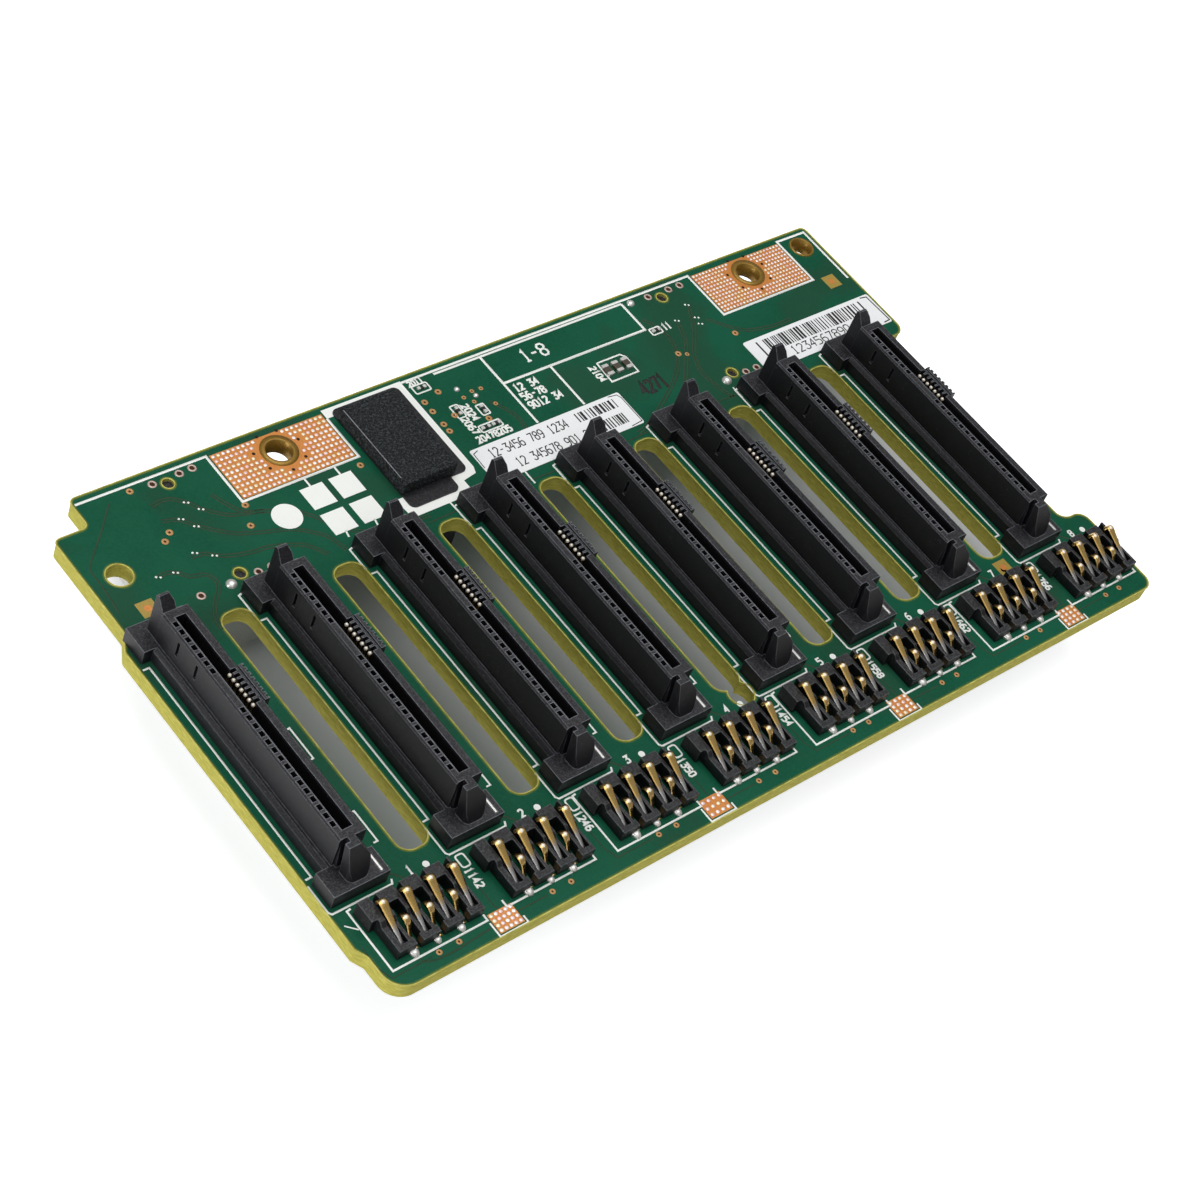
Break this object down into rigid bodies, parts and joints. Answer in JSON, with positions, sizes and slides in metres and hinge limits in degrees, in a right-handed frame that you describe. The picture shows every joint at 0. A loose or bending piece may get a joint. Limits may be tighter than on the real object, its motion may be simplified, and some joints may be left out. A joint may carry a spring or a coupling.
{
  "type": "drive backplane board",
  "caption": "Flat circuit board with a row of upright drive sockets on one face, a spring contact block below each, air slots between them and host connectors behind.",
  "frame": {"origin": "midway between the two plated screw holes, on the rear face of the board", "axes": "+Z out of the socket face, +X along the row of sockets, +Y towards the edge with the screw holes"},
  "size_m": [0.1358, 0.0767, 0.024],
  "materials": {
    "board": "satin solder mask over glass laminate",
    "socket_plastic": "moulded, satin",
    "block_plastic": "moulded, matt",
    "gold": "gold flash over copper alloy",
    "tin": "tinned",
    "header_plastic": "moulded, matt",
    "film": "matt film",
    "foam": "fine closed-cell foam",
    "chip_plastic": "moulded, matt",
    "steel_can": "nickel plated",
    "capacitor": "moulded",
    "ceramic": "fired ceramic"
  },
  "bodies": {
    "root": {"circuit_board": "board", "drive_socket_1": "socket_plastic", "socket_contacts_1": "gold", "spring_block_1": "block_plastic", "block_springs_1": "gold", "drive_socket_2": "socket_plastic", "socket_contacts_2": "gold", "spring_block_2": "block_plastic", "block_springs_2": "gold", "drive_socket_3": "socket_plastic", "socket_contacts_3": "gold", "spring_block_3": "block_plastic", "block_springs_3": "gold", "drive_socket_4": "socket_plastic", "socket_contacts_4": "gold", "spring_block_4": "block_plastic", "block_springs_4": "gold", "drive_socket_5": "socket_plastic", "socket_contacts_5": "gold", "spring_block_5": "block_plastic", "block_springs_5": "gold", "drive_socket_6": "socket_plastic", "socket_contacts_6": "gold", "spring_block_6": "block_plastic", "block_springs_6": "gold", "drive_socket_7": "socket_plastic", "socket_contacts_7": "gold", "spring_block_7": "block_plastic", "block_springs_7": "gold", "drive_socket_8": "socket_plastic", "socket_contacts_8": "gold", "spring_block_8": "block_plastic", "block_springs_8": "gold", "socket_hold_downs": "tin", "power_header": "header_plastic", "power_header_pins": "tin", "insulating_film": "film", "foam_pad": "foam", "bay_controller": "chip_plastic", "crystal": "steel_can", "inductor": "chip_plastic", "capacitors": "capacitor", "rear_chips": "ceramic", "front_chips": "ceramic", "host_shell_1": "steel_can", "host_insert_1": "socket_plastic", "host_contacts_1": "gold", "host_shell_2": "steel_can", "host_insert_2": "socket_plastic", "host_contacts_2": "gold"}
  },
  "joints": []
}
